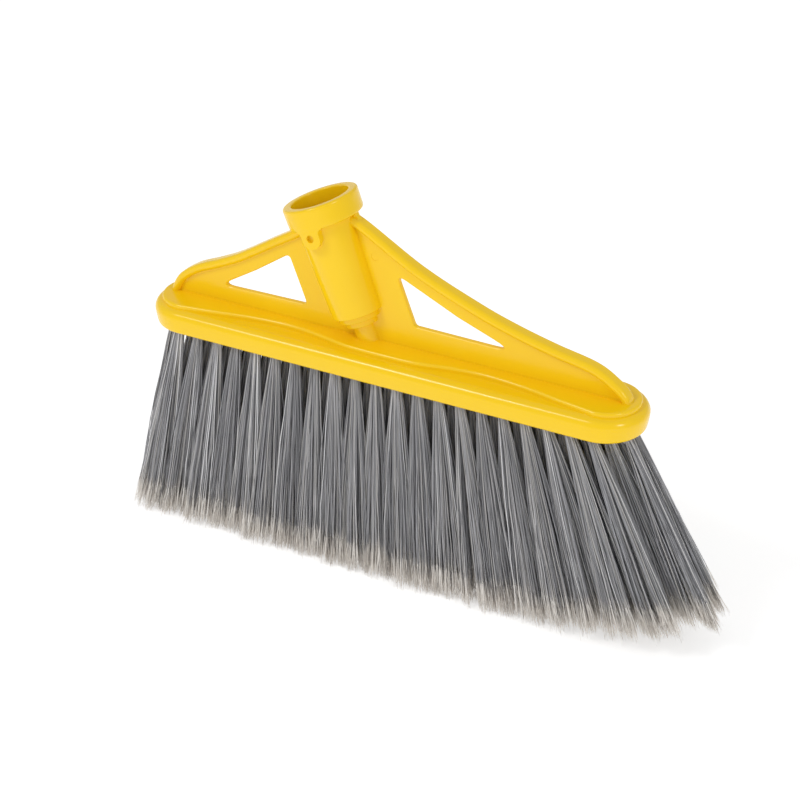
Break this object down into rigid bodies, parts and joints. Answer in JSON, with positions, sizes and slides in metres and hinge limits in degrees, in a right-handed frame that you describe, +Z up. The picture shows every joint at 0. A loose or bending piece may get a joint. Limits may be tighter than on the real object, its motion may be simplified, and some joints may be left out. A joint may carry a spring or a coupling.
{
  "type": "broom head",
  "caption": "Push-on broom head: one moulded block with a windowed fin and leaning handle socket, over fanned tufts of flagged bristle.",
  "frame": {"origin": "on the plane of the bristle tips, straight below the middle of the block's underside", "axes": "+X along the block, away from the side that the handle leans to; +Y across the block, away from the screw tab; +Z up from the tips to the handle socket"},
  "size_m": [0.3176, 0.0474, 0.1891],
  "materials": {
    "moulded_plastic": "glossy moulded polypropylene, yellow",
    "bristle": "grey crimped polyester filament, tips flagged to a pale beige grey",
    "anchor_wire": "flat galvanised steel wire"
  },
  "bodies": {
    "root": {"head": "moulded_plastic", "tufts_01": "bristle", "tufts_02": "bristle", "tufts_03": "bristle", "tufts_04": "bristle", "tufts_05": "bristle", "tufts_06": "bristle", "tufts_07": "bristle", "tufts_08": "bristle", "tufts_09": "bristle", "tufts_10": "bristle", "tufts_11": "bristle", "tufts_12": "bristle", "tufts_13": "bristle", "tufts_14": "bristle", "tufts_15": "bristle", "tufts_16": "bristle", "tufts_17": "bristle", "tufts_18": "bristle", "tufts_19": "bristle", "tufts_20": "bristle", "tufts_21": "bristle", "tufts_22": "bristle", "tufts_23": "bristle", "anchor_01": "anchor_wire", "anchor_02": "anchor_wire", "anchor_03": "anchor_wire", "anchor_04": "anchor_wire", "anchor_05": "anchor_wire", "anchor_06": "anchor_wire", "anchor_07": "anchor_wire", "anchor_08": "anchor_wire", "anchor_09": "anchor_wire", "anchor_10": "anchor_wire", "anchor_11": "anchor_wire", "anchor_12": "anchor_wire", "anchor_13": "anchor_wire", "anchor_14": "anchor_wire", "anchor_15": "anchor_wire", "anchor_16": "anchor_wire", "anchor_17": "anchor_wire", "anchor_18": "anchor_wire", "anchor_19": "anchor_wire", "anchor_20": "anchor_wire", "anchor_21": "anchor_wire", "anchor_22": "anchor_wire", "anchor_23": "anchor_wire"}
  },
  "joints": []
}
